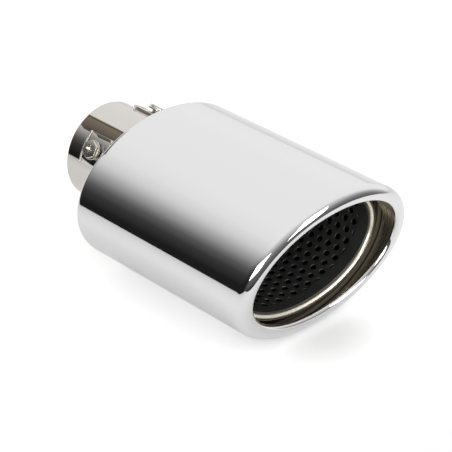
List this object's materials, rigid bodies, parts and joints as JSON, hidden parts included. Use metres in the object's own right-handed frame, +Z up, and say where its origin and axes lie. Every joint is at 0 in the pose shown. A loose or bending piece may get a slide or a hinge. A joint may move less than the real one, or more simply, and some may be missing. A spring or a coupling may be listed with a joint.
{
  "type": "exhaust tip",
  "caption": "Oval polished steel exhaust tip with a slanted rolled mouth, a black perforated insert and a round inlet collar clamped by screws.",
  "frame": {"origin": "centre of the inlet mouth, on the axis of the tailpipe", "axes": "+Y along the tailpipe towards the car, so the exhaust leaves at the -Y end; +X along the wide axis of the oval; +Z up, as it lies and as it hangs under the car"},
  "size_m": [0.13, 0.1938, 0.09],
  "materials": {
    "polished_steel": "mirror polished stainless steel",
    "plain_steel": "plain rolled stainless steel",
    "collar_steel": "bright rolled stainless steel",
    "screw_steel": "bright stainless steel",
    "black_coated_steel": "satin black heat-resistant coating"
  },
  "bodies": {
    "tip": {"outer_shell": "polished_steel", "rear_plate": "plain_steel", "inlet_collar": "collar_steel", "trim_ring": "polished_steel", "insert_band": "black_coated_steel", "insert_tube": "black_coated_steel", "clamp_pad_1": "collar_steel", "clamp_pad_2": "collar_steel", "clamp_pad_3": "collar_steel", "clamp_pad_4": "collar_steel"},
    "screw_1": {"clamp_screw_1": "screw_steel"},
    "screw_2": {"clamp_screw_2": "screw_steel"},
    "screw_3": {"clamp_screw_3": "screw_steel"},
    "screw_4": {"clamp_screw_4": "screw_steel"}
  },
  "joints": [
    {"name": "screw_1_travel", "type": "slide", "parent": "tip", "child": "screw_1", "axis": [0.6561, 0, 0.7547], "range_m": [-0.0014, 0.002]},
    {"name": "screw_2_travel", "type": "slide", "parent": "tip", "child": "screw_2", "axis": [-0.8387, 0, 0.5446], "range_m": [-0.0014, 0.002]},
    {"name": "screw_3_travel", "type": "slide", "parent": "tip", "child": "screw_3", "axis": [-0.6561, 0, -0.7547], "range_m": [-0.0014, 0.002]},
    {"name": "screw_4_travel", "type": "slide", "parent": "tip", "child": "screw_4", "axis": [0.8387, 0, -0.5446], "range_m": [-0.0014, 0.002]}
  ]
}
